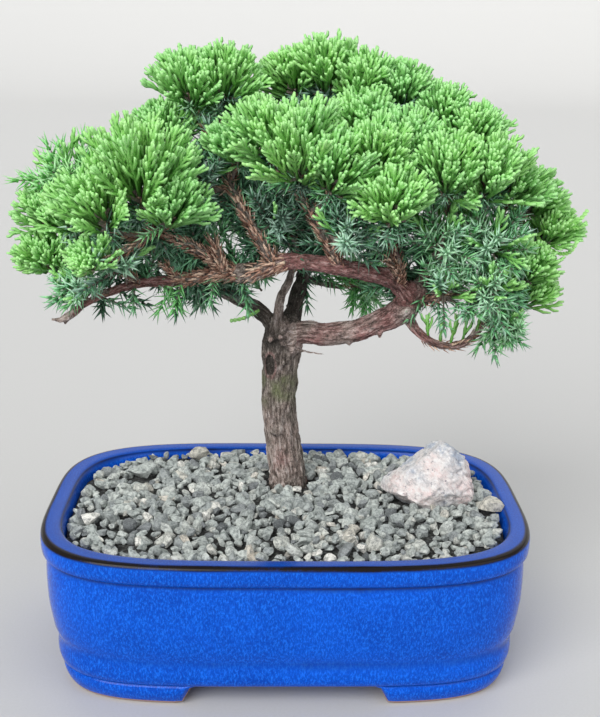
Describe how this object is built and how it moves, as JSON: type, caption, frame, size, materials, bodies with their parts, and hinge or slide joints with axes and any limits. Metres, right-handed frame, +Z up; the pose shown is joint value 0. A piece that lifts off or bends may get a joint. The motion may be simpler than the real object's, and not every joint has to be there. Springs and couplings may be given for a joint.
{
  "type": "juniper bonsai tree in a glazed pot",
  "caption": "Dwarf juniper trained as a spreading bonsai with scale and needle foliage, in a blue glazed oblong pot with soil, gravel top dressing and a granite rock.",
  "frame": {"origin": "under the middle of the whole object, on the surface the pot's feet stand on", "axes": "+Z up along the trunk, +X to the right along the pot's long side, -Y to the front that the rock and the crossing branch face"},
  "size_m": [0.2398, 0.1532, 0.2606],
  "materials": {
    "glaze": "glossy cobalt blue glaze, mottled with fine lighter streaks, dark brown where it thins on the rim's edge, bare pinkish clay at the foot",
    "screen": "plain black plastic net",
    "soil": "dark crumbly potting mix of bark and loam",
    "gravel": "small angular grey-green stones, dull",
    "granite": "rough pinkish-white granite with grey and dark flecks",
    "bark": "flaky grey-brown bark, reddish on the younger branches, some moss",
    "scale_foliage": "bright green scale-clad shoots with paler tips, satin",
    "needle_foliage": "short blue-green needles with a pale band, satin"
  },
  "bodies": {
    "root": {"pot": "glaze", "drain_screen_left": "screen", "drain_screen_right": "screen", "soil": "soil", "gravel": "gravel", "rock": "granite", "tree_wood": "bark", "spray_left_fan_high": "scale_foliage", "spray_left_fan_low": "scale_foliage", "spray_left_fan_inner": "scale_foliage", "spray_left_fan_skirt": "scale_foliage", "spray_left_mid": "scale_foliage", "spray_left_shoulder": "needle_foliage", "spray_left_tip": "scale_foliage", "spray_left_low": "scale_foliage", "spray_left_under": "needle_foliage", "spray_left_under_front": "needle_foliage", "spray_dome_left": "scale_foliage", "spray_dome_right": "scale_foliage", "spray_shoulder_left": "scale_foliage", "spray_mid_needles": "needle_foliage", "spray_mid_tufts": "scale_foliage", "spray_centre_fan_left": "scale_foliage", "spray_centre_fan_mid": "scale_foliage", "spray_centre_fan_right": "scale_foliage", "spray_crown_left": "scale_foliage", "spray_crown_top": "scale_foliage", "spray_crown_right": "scale_foliage", "spray_front_high": "scale_foliage", "spray_front_right": "scale_foliage", "spray_front_right_high": "scale_foliage", "spray_front_fan": "scale_foliage", "spray_shoulder_right": "scale_foliage", "spray_right_high": "scale_foliage", "spray_right_fan_back": "scale_foliage", "spray_right_fan_left": "scale_foliage", "spray_right_fan_mid": "scale_foliage", "spray_right_fan_right": "scale_foliage", "spray_right_edge": "scale_foliage", "spray_right_tip": "scale_foliage", "spray_low_right_high": "scale_foliage", "spray_low_right_tip": "scale_foliage", "spray_right_needles": "needle_foliage", "spray_right_needles_mid": "needle_foliage", "spray_right_needles_low": "needle_foliage", "spray_right_under": "needle_foliage", "spray_droop_tuft": "needle_foliage", "spray_front_under": "needle_foliage", "spray_inner_dark": "needle_foliage", "spray_back_edge_left": "scale_foliage", "spray_back_left_mid": "scale_foliage", "spray_back_left_high": "scale_foliage", "spray_back_left_low": "needle_foliage", "spray_back_mid": "scale_foliage", "spray_back_crown": "scale_foliage", "spray_back_mid_right": "scale_foliage", "spray_back_right_high": "scale_foliage", "spray_back_right_mid": "scale_foliage", "spray_back_far_right": "scale_foliage", "spray_back_tuft": "needle_foliage"}
  },
  "joints": []
}
